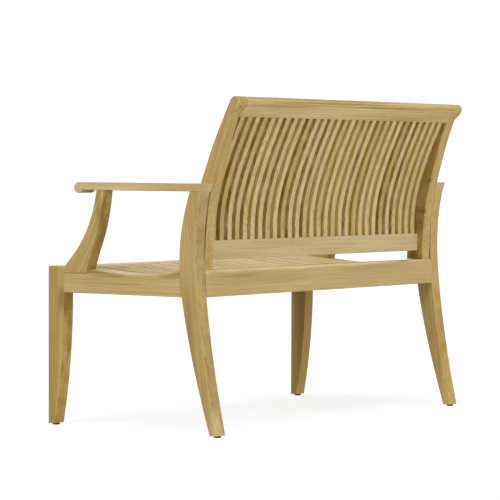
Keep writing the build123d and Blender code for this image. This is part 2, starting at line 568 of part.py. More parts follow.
# Back slat: curved lath with a stub tenon at each end
LEAN = tan(radians(BACK_SLAT_TOP_ANGLE))
SLAT_TOP_BACK, SLAT_TOP = BACK_SLAT_EDGE[-1]
SLAT_FOOT_BACK, SLAT_FOOT = BACK_SLAT_EDGE[0]
SLAT_TOP_CENTRE = SLAT_TOP_BACK - BACK_SLAT_THICKNESS / 2 * sqrt(1 + LEAN**2)
TOP_TENON_HALF = SLAT_TENON_THICKNESS / 2 * sqrt(1 + LEAN**2)
TENON_ROOT = 5.0
TOP_TENON_ENDS = [
    (-TENON_ROOT, -TOP_TENON_HALF),
    (-TENON_ROOT, TOP_TENON_HALF),
    (SLAT_TENON_LENGTH, TOP_TENON_HALF),
    (SLAT_TENON_LENGTH, -TOP_TENON_HALF),
]
with BuildPart() as slat_tenons:
    with BuildSketch(Plane.YZ.offset(-SLAT_TENON_WIDTH / 2)):
        Polygon(*[(SLAT_TOP_CENTRE + rise * LEAN + half, SLAT_TOP + rise) for rise, half in TOP_TENON_ENDS],
                align=None)
        with Locations((SLAT_FOOT_BACK - BACK_SLAT_THICKNESS / 2, SLAT_FOOT + TENON_ROOT)):
            Rectangle(SLAT_TENON_THICKNESS, SLAT_TENON_LENGTH + TENON_ROOT, align=(Align.CENTER, Align.MAX))
    extrude(amount=SLAT_TENON_WIDTH)

SLAT_STATIONS = 6
SLAT_OVERRUN = 15.0
with BuildPart() as back_slat:
    with BuildSketch(Plane.YZ.offset(-BACK_SLAT_WIDTH / 2)):
        with BuildLine():
            past_top = (SLAT_TOP_BACK + SLAT_OVERRUN * LEAN, SLAT_TOP + SLAT_OVERRUN)
            rear = Spline(*BACK_SLAT_EDGE, past_top, tangents=((0, 1), (LEAN, 1)))
            places = [k / SLAT_STATIONS for k in range(SLAT_STATIONS + 1)]
            steps = [rear.position_at(place) for place in places]
            turns = [rear.tangent_at(place) for place in places]
            shifted = [p + Vector(-t.Y, t.X) * BACK_SLAT_THICKNESS for p, t in zip(steps, turns)]
            front = Spline(*shifted, tangents=((0, 1), (LEAN, 1)))
            Line(rear @ 0, front @ 0)
            Line(rear @ 1, front @ 1)
        make_face()
    extrude(amount=BACK_SLAT_WIDTH)
    fillet(side_edges(back_slat, 200), BACK_SLAT_EASE)
    split(bisect_by=Plane.XY.offset(SLAT_TOP), keep=Keep.BOTTOM)
    add(slat_tenons.part)
for number, x in enumerate(BACK_SLAT_XS, start=1):
    with BuildPart() as placed_slat:
        with Locations((x, 0, 0)):
            add(back_slat.part)
    save(placed_slat.part, f"back_slat_{number:02d}")

# Lower back rail and crest rail, mortised for the slats and tenoned into the stiles
with BuildPart() as lower_back_rail:
    with BuildSketch(Plane.YZ.offset(-STILE_INNER)):
        with Locations(LOWER_TENON_PLACE):
            Rectangle(LOWER_RAIL_THICKNESS, LOWER_RAIL_TOP - LOWER_RAIL_BOTTOM)
    extrude(amount=2 * STILE_INNER)
    fillet(lower_back_rail.edges().filter_by(Axis.X), EASE)
    with BuildSketch(Plane.YZ.offset(-STILE_INNER - TENON_LENGTH)):
        with Locations(LOWER_TENON_PLACE):
            Rectangle(LOWER_TENON_THICKNESS, LOWER_TENON_HEIGHT)
    extrude(amount=2 * (STILE_INNER + TENON_LENGTH))
    with Locations(*[(x, 0, 0) for x in BACK_SLAT_XS]):
        add(slat_tenons.part, mode=Mode.SUBTRACT)
    with BuildSketch(Plane.XZ.offset(-STILE_PIN_START)):
        with Locations(*[(side * x, z) for x, z in STILE_PINS for side in (-1, 1)]):
            Circle(PIN_RADIUS)
    extrude(amount=-CLEAR, mode=Mode.SUBTRACT)
save(lower_back_rail.part, "lower_back_rail")

with BuildPart() as crest_rail:
    with BuildSketch(Plane.YZ.offset(-STILE_INNER)):
        with BuildLine():
            crest_roll()
            Line(CREST_BACK_FOOT, CREST_FRONT_FOOT)
        make_face()
    extrude(amount=2 * STILE_INNER)
    fillet(crest_rail.edges().filter_by(Axis.X).sort_by(Axis.Z)[:2], EASE)
    with BuildSketch(Plane.YZ.offset(-STILE_INNER - CREST_TENON_LENGTH)):
        Polygon(*CREST_TENON, align=None)
    extrude(amount=2 * (STILE_INNER + CREST_TENON_LENGTH))
    with Locations(*[(x, 0, 0) for x in BACK_SLAT_XS]):
        add(slat_tenons.part, mode=Mode.SUBTRACT)
    with BuildSketch(Plane.XZ.offset(-CREST_PIN_START)):
        with Locations(*[(side * x, z) for x, z in CREST_PINS for side in (-1, 1)]):
            Circle(PIN_RADIUS)
    extrude(amount=-CLEAR, mode=Mode.SUBTRACT)
save(crest_rail.part, "crest_rail")

# Locking pins, driven from behind and a little below the surface
PIN_RUNS = [
    (LEG_PINS[0], LEG_PIN_START, 208.3),
    (LEG_PINS[1], LEG_PIN_START, 206.4),
    (STILE_PINS[0], STILE_PIN_START, 201.9),
    (STILE_PINS[1], STILE_PIN_START, 202.6),
    (CREST_PINS[0], CREST_PIN_START, 299.6),
    (CREST_PINS[1], CREST_PIN_START, 308.2),
    (SHORT_PIN, SHORT_PIN_START, 214.8),
]
with BuildPart() as joint_pins:
    for (x, z), y_start, y_end in PIN_RUNS:
        with BuildSketch(Plane.XZ.offset(-y_start)):
            with Locations((x, z), (-x, z)):
                Circle(PIN_RADIUS)
        extrude(amount=y_start - y_end)
save(joint_pins.part, "joint_pins")

# Bolts and spacers that hold the back frame to the rear legs
BOLT_START = STILE_INNER + PLUG_DEPTH
with BuildPart() as bolts_left:
    with BuildSketch(Plane.YZ.offset(BOLT_START)):
        with Locations(*BOLT_PLACES):
            Circle(BOLT_RADIUS)
    extrude(amount=LEG_INNER + BOLT_REACH - BOLT_START)
    with BuildSketch(Plane.YZ.offset(BOLT_START)):
        with Locations(*BOLT_PLACES):
            Circle(BOLT_HEAD_RADIUS)
    extrude(amount=BOLT_HEAD_HEIGHT)
    with BuildSketch(Plane.YZ.offset(BOLT_START)):
        with Locations(*BOLT_PLACES):
            RegularPolygon(BOLT_HEX_RADIUS, 6)
    extrude(amount=BOLT_HEX_DEPTH, mode=Mode.SUBTRACT)
with BuildPart() as stile_bolts:
    add(bolts_left.part)
    mirror(bolts_left.part, about=Plane.YZ)
save(stile_bolts.part, "stile_bolts")

with BuildPart() as spacers_left:
    with BuildSketch(Plane.YZ.offset(STILE_OUTER)):
        with Locations(*BOLT_PLACES):
            Circle(SPACER_RADIUS)
            Circle(BOLT_RADIUS, mode=Mode.SUBTRACT)
    extrude(amount=LEG_INNER - STILE_OUTER)
with BuildPart() as stile_spacers:
    add(spacers_left.part)
    mirror(spacers_left.part, about=Plane.YZ)
save(stile_spacers.part, "stile_spacers")
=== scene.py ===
import math
import random
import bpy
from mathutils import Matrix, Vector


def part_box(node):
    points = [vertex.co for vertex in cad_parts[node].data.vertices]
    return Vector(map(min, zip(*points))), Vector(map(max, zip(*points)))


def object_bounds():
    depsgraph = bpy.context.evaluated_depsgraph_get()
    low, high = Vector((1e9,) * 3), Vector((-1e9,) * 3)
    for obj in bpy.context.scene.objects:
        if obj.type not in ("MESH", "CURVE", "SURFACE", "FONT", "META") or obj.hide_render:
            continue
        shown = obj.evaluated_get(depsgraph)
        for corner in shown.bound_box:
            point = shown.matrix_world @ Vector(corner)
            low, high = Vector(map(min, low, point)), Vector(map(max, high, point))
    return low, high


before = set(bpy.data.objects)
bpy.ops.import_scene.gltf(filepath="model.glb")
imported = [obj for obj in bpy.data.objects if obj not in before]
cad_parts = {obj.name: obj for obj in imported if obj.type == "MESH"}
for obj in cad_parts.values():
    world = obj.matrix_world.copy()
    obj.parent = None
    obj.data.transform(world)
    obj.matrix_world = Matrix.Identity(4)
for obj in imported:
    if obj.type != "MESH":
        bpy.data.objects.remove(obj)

import zlib

import bpy
from mathutils import Matrix, Vector

cad_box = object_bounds()


# ---------------------------------------------------------------- shader nodes
# In these helpers a value is a number, a colour or another node's output socket.
def feed(tree, value, socket):
    """Links an output socket into an input socket, or sets the input to a plain value."""
    if isinstance(value, bpy.types.NodeSocket):
        tree.links.new(value, socket)
    else:
        socket.default_value = value


def solid(colour):
    """A plain colour as a socket value."""
    return (*colour, 1)


def math_node(tree, operation, first, second=None):
    node = tree.nodes.new("ShaderNodeMath")
    node.operation = operation
    feed(tree, first, node.inputs[0])
    if second is not None:
        feed(tree, second, node.inputs[1])
    return node.outputs[0]


def multiply(tree, first, second):
    return math_node(tree, "MULTIPLY", first, second)


def stretched(tree, vector, scale):
    """A vector multiplied axis by axis."""
    node = tree.nodes.new("ShaderNodeVectorMath")
    node.operation = "MULTIPLY"
    feed(tree, vector, node.inputs[0])
    node.inputs[1].default_value = scale
    return node.outputs[0]


def axes_of(tree, vector):
    """The three parts of a vector, to be asked for by axis name."""
    node = tree.nodes.new("ShaderNodeSeparateXYZ")
    feed(tree, vector, node.inputs[0])
    return node.outputs


def noise_node(tree, vector, detail, rough, scale=1.0):
    node = tree.nodes.new("ShaderNodeTexNoise")
    feed(tree, vector, node.inputs["Vector"])
    node.inputs["Scale"].default_value = scale
    node.inputs["Detail"].default_value = detail
    node.inputs["Roughness"].default_value = rough
    return node


def remap(tree, value, low, high, new_low=0.0, new_high=1.0):
    node = tree.nodes.new("ShaderNodeMapRange")
    feed(tree, value, node.inputs["Value"])
    node.inputs["From Min"].default_value = low
    node.inputs["From Max"].default_value = high
    node.inputs["To Min"].default_value = new_low
    node.inputs["To Max"].default_value = new_high
    return node.outputs[0]


def blend_colour(tree, share, first, second, mode="MIX"):
    """Two colours mixed, or blended in another mode, by a share from 0 to 1."""
    node = tree.nodes.new("ShaderNodeMix")
    node.data_type = "RGBA"
    node.blend_type = mode
    feed(tree, share, node.inputs["Factor"])
    first_socket, second_socket = [socket for socket in node.inputs if socket.type == "RGBA"]
    feed(tree, solid(first) if isinstance(first, tuple) else first, first_socket)
    feed(tree, solid(second) if isinstance(second, tuple) else second, second_socket)
    return next(socket for socket in node.outputs if socket.type == "RGBA")


# ---------------------------------------------------------------- camera
# A long lens behind the bench on its left side, a little above the armrests
CAMERA_PLACE = Vector((5.945, 4.3677, 0.7221))
CAMERA_AZIMUTH = math.radians(126.687)
CAMERA_ELEVATION = math.radians(1.881)
CAMERA_ROLL = math.radians(0.165)
CAMERA_LENS = 183.18
SENSOR_WIDTH = 36
CAMERA_SIGHT = 120


def make_camera():
    back = Vector(
        (
            math.sin(CAMERA_AZIMUTH) * math.cos(CAMERA_ELEVATION),
            -math.cos(CAMERA_AZIMUTH) * math.cos(CAMERA_ELEVATION),
            math.sin(CAMERA_ELEVATION),
        )
    )
    level = Vector((math.cos(CAMERA_AZIMUTH), math.sin(CAMERA_AZIMUTH), 0))
    upward = back.cross(level)
    right = level * math.cos(CAMERA_ROLL) + upward * math.sin(CAMERA_ROLL)
    up = upward * math.cos(CAMERA_ROLL) - level * math.sin(CAMERA_ROLL)
    data = bpy.data.cameras.new("camera")
    data.lens = CAMERA_LENS
    data.sensor_width = SENSOR_WIDTH
    data.clip_end = CAMERA_SIGHT
    camera = bpy.data.objects.new("camera", data)
    bpy.context.scene.collection.objects.link(camera)
    turn = Matrix((right, up, back)).transposed().to_4x4()
    camera.matrix_world = Matrix.Translation(CAMERA_PLACE) @ turn
    bpy.context.scene.camera = camera


make_camera()

# ---------------------------------------------------------------- light and floor
# The bench stands in a white room: the camera and the wood's gloss see plain white, while the
# softer light that falls on the wood is weaker and a little warm, as it is between boards.
WHITE = (1, 1, 1)
WHITE_ROOM = 1.1
ROOM_TINT = (1.0, 0.94, 0.76)
ROOM_BELOW, ROOM_ABOVE = 0.55, 0.50
# The share of that light left at the front, and how far to front and back the change spreads
ROOM_IN_FRONT = 0.3
ROOM_TURN = 0.6

# Distant lamps: the way towards each, how bright it makes a white card that faces it, and its
# width in degrees. The front and far lamps light the sides turned away from the camera.
LAMPS = {
    "side": ((5.5, 0.5, 2.2), 0.40, 24),
    "rear": ((1.5, 4.4, 0.45), 0.265, 20),
    "top": ((1.2, 0.5, 4.0), 0.51, 40),
    "bounce": ((0.5, 3.0, -2.4), 0.27, 70),
    "front": ((-2.5, -4.0, 0.5), 0.30, 40),
    "far": ((-5.0, 0.3, 0.5), 0.20, 40),
}

FLOOR_HALF = 60.0
FLOOR_COLOUR = (0.27, 0.285, 0.32)
FLOOR_ROUGHNESS = 0.9
FLOOR_SPECULAR = 0.0
FLOOR_GLOW = 0.80


def make_world():
    world = bpy.data.worlds.new("studio")
    world.use_nodes = True
    tree = world.node_tree
    sky = tree.nodes["Background"]
    way = axes_of(tree, tree.nodes.new("ShaderNodeTexCoord").outputs["Generated"])
    by_height = remap(tree, way["Z"], -1, 1, ROOM_BELOW, ROOM_ABOVE)
    by_side = remap(tree, way["Y"], -ROOM_TURN, ROOM_TURN, ROOM_IN_FRONT, 1)
    feed(tree, multiply(tree, by_height, by_side), sky.inputs["Strength"])
    feed(tree, solid(ROOM_TINT), sky.inputs["Color"])
    seen = tree.nodes.new("ShaderNodeBackground")
    feed(tree, solid(WHITE), seen.inputs["Color"])
    feed(tree, WHITE_ROOM, seen.inputs["Strength"])
    path = tree.nodes.new("ShaderNodeLightPath").outputs
    choice = tree.nodes.new("ShaderNodeMixShader")
    feed(tree, math_node(tree, "MAXIMUM", path["Is Camera Ray"], path["Is Glossy Ray"]), choice.inputs[0])
    feed(tree, sky.outputs[0], choice.inputs[1])
    feed(tree, seen.outputs[0], choice.inputs[2])
    feed(tree, choice.outputs[0], tree.nodes["World Output"].inputs["Surface"])
    bpy.context.scene.world = world


def make_sun(name, towards, share, spread):
    data = bpy.data.lights.new(name, "SUN")
    data.energy = math.pi * share
    data.angle = math.radians(spread)
    lamp = bpy.data.objects.new(name, data)
    lamp.rotation_euler = Vector(towards).to_track_quat("Z", "Y").to_euler()
    bpy.context.scene.collection.objects.link(lamp)


def make_floor():
    """A pale floor that glows just short of white, so that only soft shadows show on it."""
    mesh = bpy.data.meshes.new("floor")
    corners = [(x * FLOOR_HALF, y * FLOOR_HALF, 0) for x, y in ((-1, -1), (1, -1), (1, 1), (-1, 1))]
    mesh.from_pydata(corners, [], [(0, 1, 2, 3)])
    floor = bpy.data.objects.new("floor", mesh)
    material = bpy.data.materials.new("floor")
    material.use_nodes = True
    shader = material.node_tree.nodes["Principled BSDF"]
    shader.inputs["Base Color"].default_value = solid(FLOOR_COLOUR)
    shader.inputs["Roughness"].default_value = FLOOR_ROUGHNESS
    shader.inputs["Specular IOR Level"].default_value = FLOOR_SPECULAR
    shader.inputs["Emission Color"].default_value = solid(WHITE)
    shader.inputs["Emission Strength"].default_value = FLOOR_GLOW
    mesh.materials.append(material)
    bpy.context.scene.collection.objects.link(floor)
    # The bounce lamp shines up in the floor's place, so the floor neither blocks it nor adds to it
    floor.visible_diffuse = False
    floor.visible_shadow = False


make_world()
for lamp_name, lamp_facts in LAMPS.items():
    make_sun(lamp_name, *lamp_facts)
make_floor()
bpy.context.scene.view_settings.view_transform = "Standard"

# ---------------------------------------------------------------- timber colours and painted shade
PALE = (0.65, 0.52, 0.29)
HONEY = (0.52, 0.378, 0.147)
TAWNY = (0.38, 0.250, 0.075)
LATE_WOOD = (0.25, 0.160, 0.042)
PORE = (0.14, 0.090, 0.028)
HEART = (0.50, 0.305, 0.095)
DULL = (0.41, 0.31, 0.16)
CHALKY = (0.47, 0.385, 0.235)
END_GRAIN = (0.42, 0.34, 0.18)
# Painted shade: a near-black tint for narrow gaps between parts and for shade under rails
PAINTED_SHADE = (0.11, 0.072, 0.026)
# Painted shade: colours that multiply the faces along one axis of some boards, the sides between slats
# and the rear faces of legs, stiles and post
SIDE_SHADE = (0.78, 0.67, 0.25)
GOLD_SHADE = (0.92, 0.79, 0.30)
DEEP_SHADE = (0.56, 0.45, 0.13)
GREY_SHADE = (0.72, 0.71, 0.69)
GAP_SHADE = (0.48, 0.40, 0.22)

# ---------------------------------------------------------------- teak
# Noise in the wood: its frequency per metre along and across the grain, octaves and roughness
WOOD_NOISE = {
    "drift": (1.1, 7.0, 2, 0.45),
    "ripple": (6.0, 60.0, 3, 0.5),
    "fibre": (5.0, 420.0, 4, 0.6),
    "dark streak": (1.3, 150.0, 3, 0.6),
    "pale streak": (1.17, 97.5, 3, 0.55),
    "vein": (0.8, 270.0, 2, 0.6),
    "pore": (70.0, 1500.0, 1, 0.5),
    "cloud": (2.2, 16.0, 3, 0.5),
    "patch edge": (12.0, 90.0, 3, 0.6),
}
NOISE_MIDDLE = 0.5
# The noise's values where each mark starts to show and shows fully, then its share at the two
PALE_STREAKS = (0.52, 0.74, 0.0, 0.5)
DARK_STREAKS = (0.52, 0.72, 0.0, 0.55)
VEINS = (0.56, 0.68, 0.0, 0.5)
FIBRES = (0.35, 0.7, 0.0, 0.34)
PORES = (0.62, 0.74)
PORE_DEPTH = 0.5
# The board's tone at each base colour; clouds move the tone down or up as their noise rises
PALE_TONE, HONEY_TONE, TAWNY_TONE = 0.0, 0.5, 1.0
CLOUDS = (0.3, 0.7, -0.34, 0.34)

# Growth rings: how many to the metre, how far they wander and ripple, and how each year darkens
RINGS_PER_METRE = 210.0
RING_WANDER = 0.05
RING_RIPPLE = 0.0012
LATE_START, LATE_FULL = 0.45, 0.93
FAINTEST_YEAR = 0.15

# Roughness without fibres and what they add; then how far fibres stand up and rings sink in the
# bump, where the depth of a pore is 1
ROUGHNESS_LEAST, ROUGHNESS_FIBRE = 0.52, 0.2
FIBRE_HEIGHT, RING_HEIGHT = 0.6, 0.3


def wood_noise(tree, grain, kind):
    """Noise drawn out along the grain, which is the first axis of grain coordinates."""
    along, across, detail, rough = WOOD_NOISE[kind]
    return noise_node(tree, stretched(tree, grain, (along, across, across)), detail, rough)


def ring_lines(tree, grain):
    """Dark late wood at the end of each year's ring, round a pith that runs along the grain."""
    drift = axes_of(tree, wood_noise(tree, grain, "drift").outputs["Color"])
    places = axes_of(tree, grain)
    squares = []
    for axis in ("Y", "Z"):
        wander = multiply(tree, math_node(tree, "SUBTRACT", drift[axis], NOISE_MIDDLE), RING_WANDER)
        moved = math_node(tree, "ADD", places[axis], wander)
        squares.append(multiply(tree, moved, moved))
    radius = math_node(tree, "SQRT", math_node(tree, "ADD", *squares))
    ripple = wood_noise(tree, grain, "ripple").outputs[0]
    ruffled = math_node(tree, "ADD", radius, remap(tree, ripple, 0, 1, -RING_RIPPLE, RING_RIPPLE))
    rings = multiply(tree, ruffled, RINGS_PER_METRE)
    phase = math_node(tree, "FRACT", rings)
    rising = remap(tree, phase, LATE_START, LATE_FULL)
    falling = remap(tree, phase, LATE_FULL, 1.0, 1.0, 0.0)
    year = tree.nodes.new("ShaderNodeTexWhiteNoise")
    year.noise_dimensions = "1D"
    feed(tree, math_node(tree, "FLOOR", rings), year.inputs["W"])
    year_strength = remap(tree, year.outputs[0], 0, 1, FAINTEST_YEAR, 1.0)
    return multiply(tree, math_node(tree, "MINIMUM", rising, falling), year_strength)


def teak_group():
    """Solid teak: growth rings, long fibres, pores, streaks and slow changes of tone."""
    tree = bpy.data.node_groups.new("teak", "ShaderNodeTree")
    for name, way, kind in (
        ("Grain", "INPUT", "Vector"),
        ("Tone", "INPUT", "Float"),
        ("Figure", "INPUT", "Float"),
        ("Streaks", "INPUT", "Float"),
        ("Color", "OUTPUT", "Color"),
        ("Roughness", "OUTPUT", "Float"),
        ("Height", "OUTPUT", "Float"),
    ):
        tree.interface.new_socket(name, in_out=way, socket_type="NodeSocket" + kind)
    given = tree.nodes.new("NodeGroupInput").outputs
    grain = given["Grain"]
    rings = multiply(tree, ring_lines(tree, grain), given["Figure"])

    cloud = remap(tree, wood_noise(tree, grain, "cloud").outputs[0], *CLOUDS)
    tone = math_node(tree, "ADD", given["Tone"], cloud)
    colour = blend_colour(tree, remap(tree, tone, PALE_TONE, HONEY_TONE), PALE, HONEY)
    colour = blend_colour(tree, remap(tree, tone, HONEY_TONE, TAWNY_TONE), colour, TAWNY)
    for kind, reach, tint in (
        ("pale streak", PALE_STREAKS, PALE),
        ("dark streak", DARK_STREAKS, TAWNY),
        ("vein", VEINS, LATE_WOOD),
    ):
        share = remap(tree, wood_noise(tree, grain, kind).outputs[0], *reach)
        colour = blend_colour(tree, multiply(tree, share, given["Streaks"]), colour, tint)
    colour = blend_colour(tree, rings, colour, LATE_WOOD)
    fibre = wood_noise(tree, grain, "fibre").outputs[0]
    colour = blend_colour(tree, remap(tree, fibre, *FIBRES), colour, LATE_WOOD, "MULTIPLY")
    pore = remap(tree, wood_noise(tree, grain, "pore").outputs[0], *PORES)
    colour = blend_colour(tree, multiply(tree, pore, PORE_DEPTH), colour, PORE)

    rough = math_node(tree, "ADD", ROUGHNESS_LEAST, multiply(tree, fibre, ROUGHNESS_FIBRE))
    bumps = math_node(tree, "SUBTRACT", multiply(tree, fibre, FIBRE_HEIGHT), pore)
    height = math_node(tree, "SUBTRACT", bumps, multiply(tree, rings, RING_HEIGHT))
    result = tree.nodes.new("NodeGroupOutput").inputs
    feed(tree, colour, result["Color"])
    feed(tree, rough, result["Roughness"])
    feed(tree, height, result["Height"])
    return tree


TEAK = teak_group()

# ---------------------------------------------------------------- boards
# Which way each piece's grain runs, and how far its board leans from Z towards +Y, in degrees
GRAIN_ALONG = {
    "rear_rail": ("X", 0),
    "front_rail": ("X", 0),
    "seat_bearer": ("X", 0),
    "crest_rail": ("X", 0),
    "lower_back_rail": ("X", 0),
    "side_rail": ("Y", 0),
    "armrest": ("Y", 0),
    "seat_slat": ("Y", 0),
    "front_leg": ("Z", 0),
    "rear_leg": ("Z", -6),
    "arm_post": ("Z", 30),
    "back_stile": ("Z", 19),
    "back_slat": ("Z", 15),
}

# How dark each board is, from 0 (pale) to 1 (tawny): the lowest and highest for its kind
TONE_RANGE = {
    "back_slat": (-0.15, 0.55),
    "seat_slat": (0.0, 0.3),
    "armrest_left": (0.1, 0.1),
    "side_rail_left": (0.22, 0.22),
    "front_leg_left": (0.62, 0.62),
    "rear_leg_left": (0.6, 0.6),
    "back_stile_left": (0.55, 0.55),
    "back_stile_right": (0.5, 0.5),
    "lower_back_rail": (0.25, 0.25),
    "rear_rail": (0.42, 0.42),
    "crest_rail": (0.32, 0.32),
    "arm_post_left": (0.45, 0.45),
    # The far front leg's dark tone is painted shade, for the shade under the seat
    "front_leg_right": (0.95, 0.95),
}
OTHER_TONES = (0.2, 0.7)

# How strongly the broad streaks and veins show, for boards calmer or livelier than the rest
STREAKS = {
    "rear_leg_left": 0.45,
    "rear_rail": 0.35,
    "lower_back_rail": 0.7,
    "side_rail_left": 0.75,
    "crest_rail": 1.0,
}
OTHER_STREAKS = 0.85

# Patches in single boards, some of figure and some of painted shade or painted highlight, as marked: the
# centre and the radii in metres, the colour and its strength. One that reaches past the whole board tints
# all of it.
PATCHES = {
    "side_rail_left": [
        ((0.598, -0.10, 0.4230), (0.03, 0.07, 0.006), LATE_WOOD, 0.55),
        ((0.598, 0.12, 0.4235), (0.03, 0.04, 0.005), LATE_WOOD, 0.45),
        ((0.598, -0.08, 0.401), (0.03, 0.13, 0.002), LATE_WOOD, 0.4),
    ],
    "seat_slats_outer": [
        # Painted highlight on the top of the outer lath
        ((0.545, -0.06, 0.43), (0.04, 0.17, 0.03), PALE, 0.9),
        ((0.588, -0.16, 0.433), (0.006, 0.09, 0.012), LATE_WOOD, 0.6),
    ],
    "seat_slats_7": [
        # Painted shade along the gap at this lath's edge
        ((0.4865, -0.11, 0.43), (0.004, 0.14, 0.05), LATE_WOOD, 0.75),
    ],
    "lower_back_rail": [
        ((0.0, 0.2, 0.49), (3.0, 1.0, 1.0), CHALKY, 0.4),
    ],
    "rear_rail": [
        ((0.0, 0.2, 0.41), (3.0, 1.0, 1.0), DULL, 0.5),
        ((0.12, 0.208, 0.411), (0.42, 0.05, 0.013), TAWNY, 0.3),
        ((0.40, 0.208, 0.424), (0.10, 0.05, 0.004), LATE_WOOD, 0.45),
        # Painted highlight along the rail's top edge
        ((0.10, 0.19, 0.4445), (0.60, 0.08, 0.009), PALE, 0.9),
    ],
    "back_stile_left": [
        ((0.556, 0.205, 0.715), (0.012, 0.03, 0.055), HEART, 0.3),
        # Painted shade in the narrow gap between the stile and the rear leg
        ((0.5565, 0.18, 0.535), (0.0012, 0.2, 0.11), PAINTED_SHADE, 1.0),
    ],
    "back_stile_right": [
        # The next two patches are painted shade on the stile's inner face
        ((-0.515, 0.235, 0.681), (0.012, 0.02, 0.009), PAINTED_SHADE, 0.6),
        ((-0.515, 0.205, 0.589), (0.012, 0.03, 0.010), PAINTED_SHADE, 0.55),
        ((-0.515, 0.195, 0.55), (0.012, 0.02, 0.028), LATE_WOOD, 0.6),
        # Painted shadow of the lower back rail on the stile's inner face
        ((-0.515, 0.18, 0.445), (0.012, 0.03, 0.018), PAINTED_SHADE, 0.5),
        # Painted shade in the narrow gap between the stile and the rear leg
        ((-0.5565, 0.18, 0.535), (0.0012, 0.2, 0.11), PAINTED_SHADE, 0.6),
    ],
    "rear_leg_left": [
        ((0.584, 0.273, 0.04), (0.019, 0.015, 0.115), PALE, 0.6),
        # Painted shade in the narrow gap between the leg and the stile
        ((0.558, 0.2, 0.52), (0.0014, 0.2, 0.14), PAINTED_SHADE, 1.0),
    ],
    "rear_leg_right": [
        # Painted shade in the narrow gap between the leg and the stile
        ((-0.558, 0.2, 0.52), (0.0014, 0.2, 0.14), PAINTED_SHADE, 0.6),
    ],
    "arm_post_left": [
        # Painted shade: a shadow under the armrest at the top of the post, and shade down its rear face
        ((0.592, -0.128, 0.60), (0.014, 0.020, 0.06), LATE_WOOD, 0.75),
        ((0.575, -0.14, 0.53), (0.014, 0.03, 0.10), LATE_WOOD, 0.65),
    ],
    "crest_rail": [
        # Painted light that brightens the shaded cove under the crest's roll
        ((0.0, 0.29, 0.878), (0.75, 0.06, 0.009), PALE, 0.4),
        ((0.15, 0.30, 0.905), (0.42, 0.03, 0.0035), LATE_WOOD, 0.5),
        ((0.10, 0.31, 0.897), (0.30, 0.03, 0.003), LATE_WOOD, 0.75),
        ((-0.15, 0.31, 0.890), (0.22, 0.03, 0.0026), LATE_WOOD, 0.7),
        ((0.35, 0.31, 0.885), (0.15, 0.03, 0.0026), LATE_WOOD, 0.6),
    ],
    "front_leg_left": [
        ((0.585, -0.262, 0.352), (0.035, 0.025, 0.036), LATE_WOOD, 0.85),
        ((0.572, -0.27, 0.27), (0.008, 0.03, 0.10), LATE_WOOD, 0.6),
    ],
    "front_leg_right": [
        # Painted shade over most of the far front leg, which stands under the seat
        ((-0.579, -0.27, 0.2), (0.05, 0.05, 0.3), LATE_WOOD, 0.5),
    ],
}
# In radii from its centre, where a patch has ended and where it is full, and how its edge wavers
# between two values of the noise
PATCH_OUTSIDE, PATCH_INSIDE = 1.25, 0.55
PATCH_WAVER = (0.2, 0.8, -0.45, 0.45)

# Boards whose faces along one axis get painted shade in blotches like heartwood: the faces' axis, the
# tint, the least and the most
SHADED_FACES = {
    "back_slat": ("X", GOLD_SHADE, 0.45, 1.0),
    "seat_slat": ("X", GAP_SHADE, 1.0, 1.0),
    "back_stile_right": ("X", SIDE_SHADE, 1.0, 1.0),
    "back_stile_left": ("Y", SIDE_SHADE, 0.22, 0.22),
    "front_leg_left": ("Y", SIDE_SHADE, 0.65, 0.65),
    "arm_post_left": ("Y", SIDE_SHADE, 0.45, 0.45),
    "rear_leg_left": ("Y", GREY_SHADE, 0.55, 0.55),
    "rear_leg_right": ("Y", SIDE_SHADE, 0.35, 0.35),
}
# The outermost seat laths keep their sides free of painted shade
PLAIN_SIDED = "seat_slats_outer"
# Back slats with the darkest painted shade on their sides: those nearest the left stile, beyond this
# share of the bench's half width, and this share of the others
DARK_SLATS_FROM = 0.54
DARK_SLAT_SHARE = 0.45
# Blotches in the painted shade: frequency per metre along X, Y and Z, octaves and roughness, the noise's
# values between which they deepen, and how far, as shares of the board's shade depth
BLOTCH_FREQUENCY = (20.0, 60.0, 22.0)
BLOTCH_DETAIL, BLOTCH_ROUGH = 4, 0.7
BLOTCH_REACH = (0.36, 0.62)
BLOTCH_LEAST, BLOTCH_MOST = 0.2, 1.5
# How squarely a face lies along the axis where the painted shade or the end grain starts to show and
# shows fully
SHADED_FACING = (0.6, 0.95)
END_FACING = (0.75, 0.97)
END_SHARE = 0.55

# A board's place in the log, in metres: how far its middle is from the pith, and how far along
PITH_NEAREST, PITH_FURTHEST = 0.05, 0.14
LOG_LENGTH = 20
# How strongly the growth rings show
FIGURE_LEAST, FIGURE_MOST = 0.25, 0.6
BARE_WOOD_SPECULAR = 0.16
BUMP_STRENGTH = 0.25
BUMP_DISTANCE = 0.0006


def by_stem(table, name, otherwise=None):
    """The table's entry whose key the name starts with."""
    return next((entry for stem, entry in table.items() if name.startswith(stem)), otherwise)


def grain_turn(axis, lean):
    """Rotation that carries the object's axes into grain axes, with X along the grain."""
    tilt = Matrix.Rotation(math.radians(lean), 3, "X")
    turns = {
        "X": Matrix.Identity(3),
        "Y": Matrix(((0, 1, 0), (-1, 0, 0), (0, 0, 1))),
        "Z": Matrix(((0, 0, 1), (0, 1, 0), (-1, 0, 0))),
    }
    return turns[axis] @ tilt


def facing_share(tree, place, axis, reach):
    """How squarely the surface faces along one of the object's axes."""
    along = math_node(tree, "ABSOLUTE", axes_of(tree, place["Normal"])[axis])
    return remap(tree, along, *reach)


